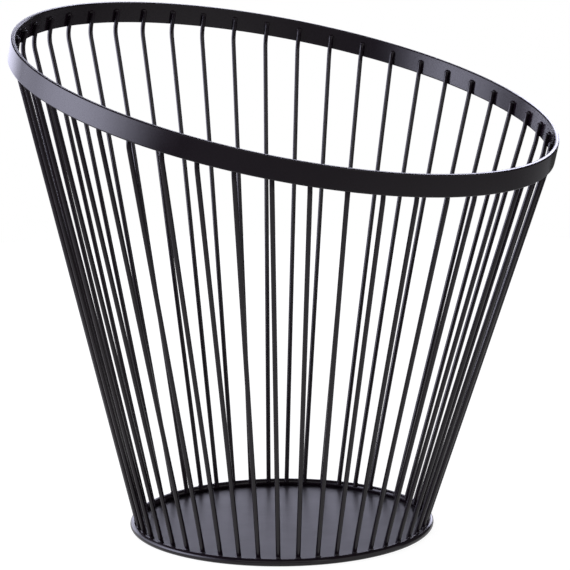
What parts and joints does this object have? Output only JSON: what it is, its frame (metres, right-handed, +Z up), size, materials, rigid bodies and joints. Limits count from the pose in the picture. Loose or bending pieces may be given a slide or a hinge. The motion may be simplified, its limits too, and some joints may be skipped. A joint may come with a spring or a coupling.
{
  "type": "wire basket",
  "caption": "Round wire basket with a flat sheet base, flaring upright wires and a flat rim hoop that slopes down to one side.",
  "frame": {"origin": "middle of the base, on the surface that the basket stands on", "axes": "+Z up, +X towards the low side of the rim, +Y across, so the XZ plane cuts the basket into two mirrored halves"},
  "size_m": [0.3656, 0.373, 0.3528],
  "materials": {
    "black_coat": "satin black powder coat"
  },
  "bodies": {
    "root": {"base_ring": "black_coat", "base_disc": "black_coat", "rim_hoop": "black_coat", "wire_01": "black_coat", "wire_02": "black_coat", "wire_03": "black_coat", "wire_04": "black_coat", "wire_05": "black_coat", "wire_06": "black_coat", "wire_07": "black_coat", "wire_08": "black_coat", "wire_09": "black_coat", "wire_10": "black_coat", "wire_11": "black_coat", "wire_12": "black_coat", "wire_13": "black_coat", "wire_14": "black_coat", "wire_15": "black_coat", "wire_16": "black_coat", "wire_17": "black_coat", "wire_18": "black_coat", "wire_19": "black_coat", "wire_20": "black_coat", "wire_21": "black_coat", "wire_22": "black_coat", "wire_23": "black_coat", "wire_24": "black_coat", "wire_25": "black_coat", "wire_26": "black_coat", "wire_27": "black_coat", "wire_28": "black_coat", "wire_29": "black_coat", "wire_30": "black_coat", "wire_31": "black_coat", "wire_32": "black_coat", "wire_33": "black_coat", "wire_34": "black_coat", "wire_35": "black_coat", "wire_36": "black_coat", "wire_37": "black_coat", "wire_38": "black_coat", "wire_39": "black_coat", "wire_40": "black_coat", "wire_41": "black_coat", "wire_42": "black_coat", "wire_43": "black_coat", "wire_44": "black_coat", "wire_45": "black_coat", "wire_46": "black_coat", "wire_47": "black_coat", "wire_48": "black_coat"}
  },
  "joints": []
}
